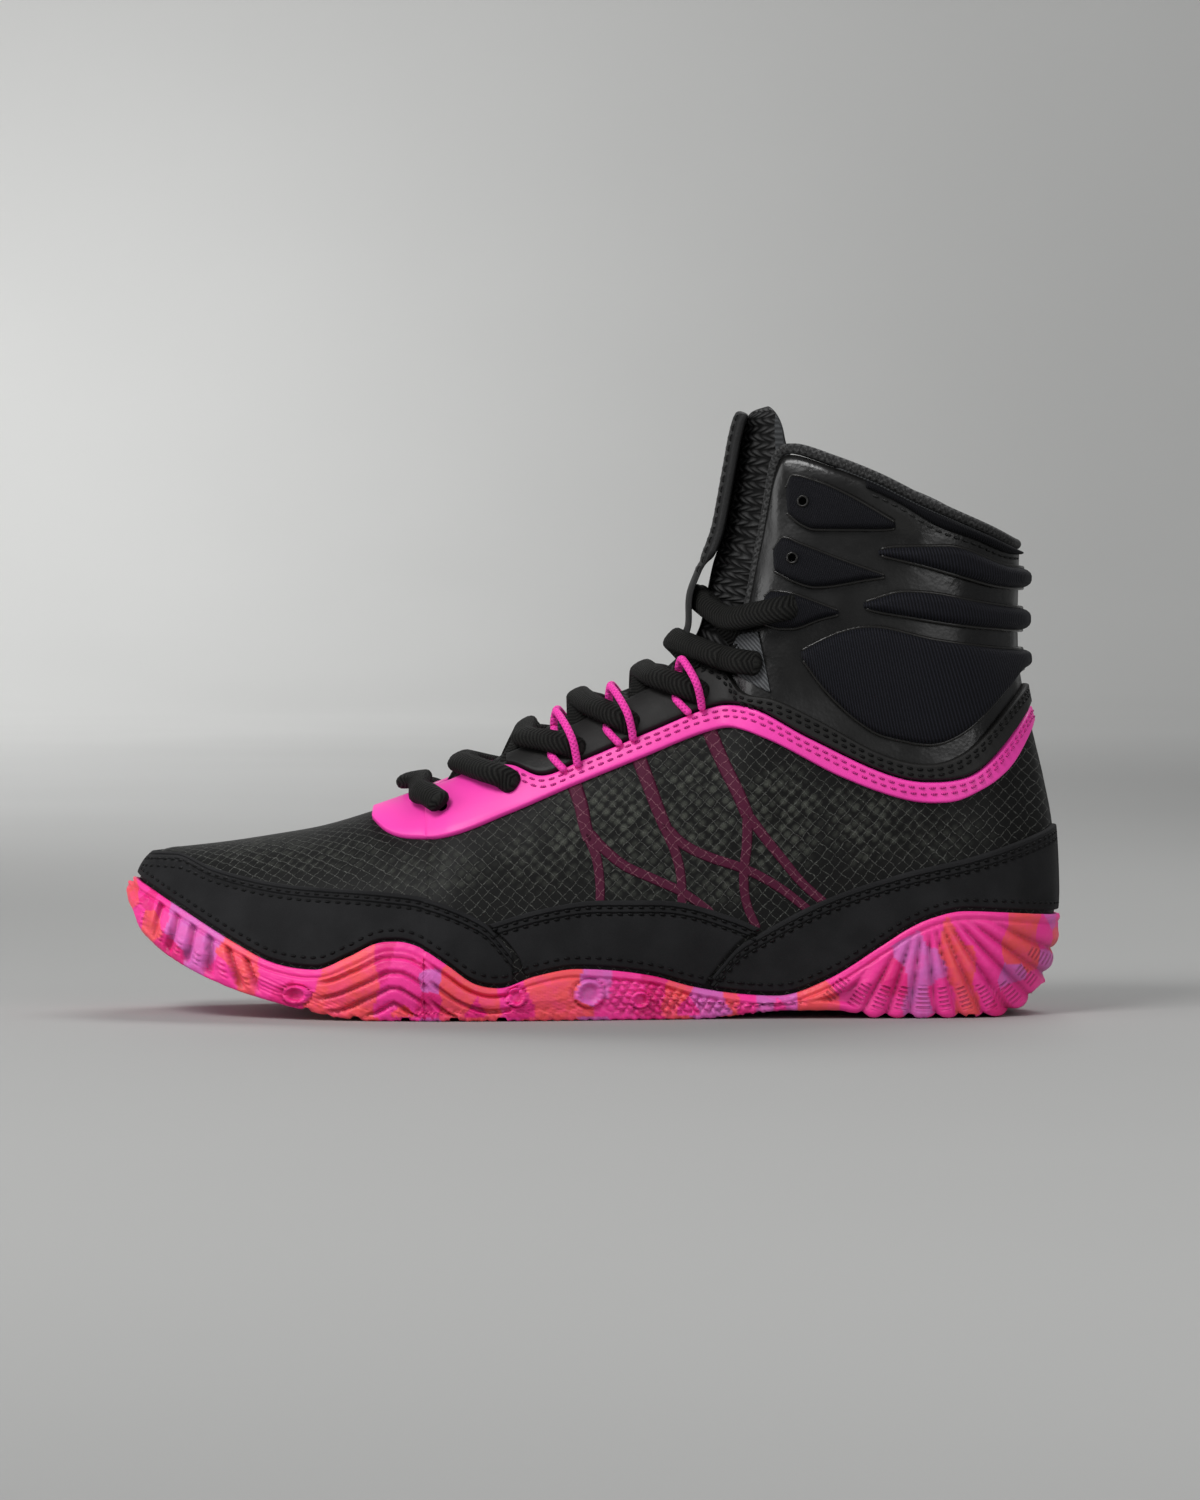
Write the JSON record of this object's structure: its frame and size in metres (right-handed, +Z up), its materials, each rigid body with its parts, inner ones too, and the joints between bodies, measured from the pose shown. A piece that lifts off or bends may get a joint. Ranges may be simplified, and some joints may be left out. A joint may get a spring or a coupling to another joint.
{
  "type": "wrestling shoe",
  "caption": "High lace-up wrestling shoe for the left foot: thin wavy rubber sole, hollow upper open at collar and throat, padded tongue and ankle.",
  "frame": {"origin": "middle of the bounding box, at the plane the sole stands on", "axes": "-X towards the toe, +X towards the heel, -Y to the outer (lateral) side, +Y to the inner side, +Z up"},
  "size_m": [0.2844, 0.0964, 0.1842],
  "materials": {
    "sole": "marbled moulded rubber, satin",
    "quarter": "ripstop weave",
    "lining": "brushed",
    "rand": "suede-like microfibre, matte",
    "film": "smooth bonded film, satin",
    "eyestay": "smooth, satin",
    "pad": "fine ribbed knit over foam",
    "mesh": "spacer mesh",
    "piping": "corded weave",
    "cover": "smooth, satin",
    "lace": "ribbed weave",
    "bungee": "braided cord"
  },
  "bodies": {
    "root": {"outsole": "sole", "upper": "quarter", "insole": "lining", "toe_rand": "rand", "mid_rand_lateral": "rand", "mid_rand_medial": "rand", "heel_rand": "rand", "pink_band": "film", "eyestay": "eyestay", "ankle_pad": "pad", "rib_low": "pad", "rib_high": "pad", "collar_cuff": "mesh", "collar_piping": "piping", "tongue": "mesh", "lace_cover": "cover", "laces": "lace", "fin_1_lateral": "pad", "fin_1_medial": "pad", "fin_2_lateral": "pad", "fin_2_medial": "pad", "fin_3_lateral": "pad", "fin_3_medial": "pad", "lace_loop_lateral_1": "bungee", "lace_loop_lateral_2": "bungee", "lace_loop_lateral_3": "bungee", "lace_loop_medial_1": "bungee", "lace_loop_medial_2": "bungee", "lace_loop_medial_3": "bungee"}
  },
  "joints": []
}
